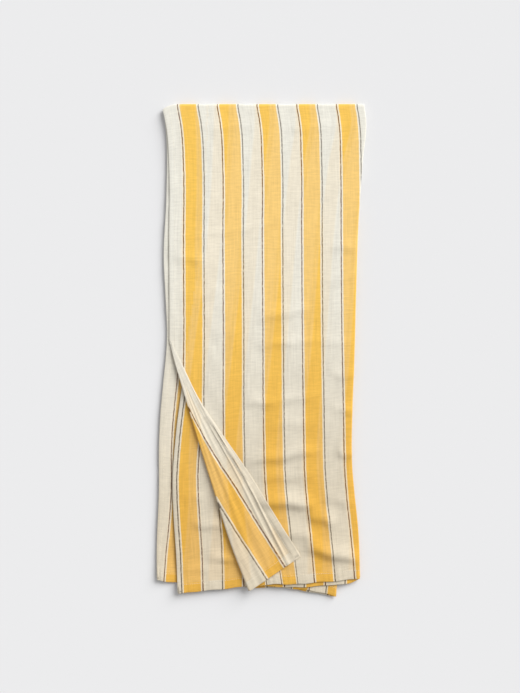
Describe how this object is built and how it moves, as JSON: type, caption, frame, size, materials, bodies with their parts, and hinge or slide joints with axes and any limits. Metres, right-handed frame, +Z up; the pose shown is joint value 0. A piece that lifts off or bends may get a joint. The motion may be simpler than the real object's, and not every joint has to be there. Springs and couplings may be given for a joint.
{
  "type": "baby wrap sling",
  "caption": "Long striped gauze wrap for carrying a baby, folded in half lengthwise and across and lying flat, with one corner of the top ply turned over.",
  "frame": {"origin": "on the surface the cloth lies on, under the middle of the folded bundle", "axes": "+Y along the length towards the cross fold, +X towards the lengthwise folds, +Z up from the surface through the plies"},
  "size_m": [0.408, 0.9568, 0.0132],
  "materials": {
    "striped_gauze": "matt open gauze weave, yarn-dyed in yellow and off-white stripes",
    "hem_gauze": "the same gauze turned twice",
    "sewing_thread": "matt cotton thread"
  },
  "bodies": {
    "back_half": {"back_outer_panel": "striped_gauze", "back_outer_end_hem": "hem_gauze", "back_outer_rail_hem": "hem_gauze", "back_outer_end_thread": "sewing_thread", "back_outer_rail_thread": "sewing_thread", "back_inner_panel": "striped_gauze", "back_inner_end_hem": "hem_gauze", "back_inner_rail_hem": "hem_gauze", "back_inner_end_thread": "sewing_thread", "back_inner_rail_thread": "sewing_thread", "back_side_fold": "striped_gauze", "cross_fold_outer": "striped_gauze", "cross_fold_inner": "striped_gauze"},
    "front_half": {"front_inner_panel": "striped_gauze", "front_inner_end_hem": "hem_gauze", "front_inner_rail_hem": "hem_gauze", "front_inner_end_thread": "sewing_thread", "front_inner_rail_thread": "sewing_thread", "front_outer_panel": "striped_gauze", "front_outer_end_hem": "hem_gauze", "front_outer_rail_hem": "hem_gauze", "front_outer_end_thread": "sewing_thread", "front_outer_rail_thread": "sewing_thread", "front_side_fold": "striped_gauze", "turned_corner_crease": "striped_gauze"},
    "turned_corner": {"turned_corner_panel": "striped_gauze", "turned_corner_end_hem": "hem_gauze", "turned_corner_rail_hem": "hem_gauze", "turned_corner_end_thread": "sewing_thread", "turned_corner_rail_thread": "sewing_thread"}
  },
  "joints": [
    {"name": "cross_fold", "type": "hinge", "parent": "back_half", "child": "front_half", "pos_m": [0, 0.47318, 0.00525], "axis": [-1, 0, 0], "range_deg": [0, 179.9], "deforming": ["cross_fold_outer", "cross_fold_inner"]},
    {"name": "corner_turn", "type": "hinge", "parent": "front_half", "child": "turned_corner", "pos_m": [-0.10496, -0.22584, 0.01065], "axis": [0.2795, -0.9601, 0], "range_deg": [0, 160], "deforming": ["turned_corner_crease"]}
  ]
}
